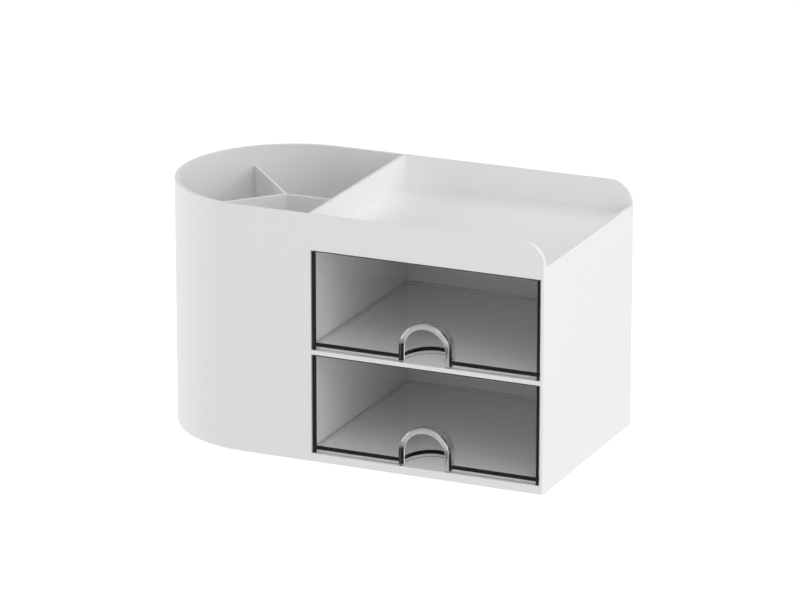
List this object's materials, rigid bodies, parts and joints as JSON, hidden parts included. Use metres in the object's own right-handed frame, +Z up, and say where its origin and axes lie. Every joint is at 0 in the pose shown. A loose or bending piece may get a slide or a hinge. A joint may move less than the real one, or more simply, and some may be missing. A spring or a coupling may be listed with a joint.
{
  "type": "desk organizer",
  "caption": "Desk organizer: D-shaped white body with a divided pen cup at the round end, an open tray on top and clear pull-out drawers with arched finger scoops under it.",
  "frame": {"origin": "centre of the whole object's box, on the plane that the feet stand on", "axes": "+X from the round pen cup end to the flat side, -Y the way the drawers open, +Z up"},
  "size_m": [0.243, 0.1308, 0.142],
  "materials": {
    "shell_plastic": "white injection-moulded ABS, satin gloss",
    "divider_plastic": "white injection-moulded ABS, satin gloss",
    "clear_plastic": "clear, slightly smoky polystyrene, high gloss",
    "foot_rubber": "matt anti-slip rubber"
  },
  "bodies": {
    "body": {"outer_shell": "shell_plastic", "middle_shelf": "shell_plastic", "base_plate": "shell_plastic", "foot_front_left": "foot_rubber", "foot_front_right": "foot_rubber", "foot_back_left": "foot_rubber", "foot_back_right": "foot_rubber"},
    "divider": {"pen_divider": "divider_plastic"},
    "top_drawer": {"upper_drawer": "clear_plastic"},
    "bottom_drawer": {"lower_drawer": "clear_plastic"}
  },
  "joints": [
    {"name": "upper_drawer_slide", "type": "slide", "parent": "body", "child": "top_drawer", "axis": [0, -1, 0], "range_m": [0, 0.105]},
    {"name": "lower_drawer_slide", "type": "slide", "parent": "body", "child": "bottom_drawer", "axis": [0, -1, 0], "range_m": [0, 0.105]},
    {"name": "pen_divider_lift", "type": "slide", "parent": "body", "child": "divider", "axis": [0, 0, 1], "range_m": [0, 0.14]}
  ]
}
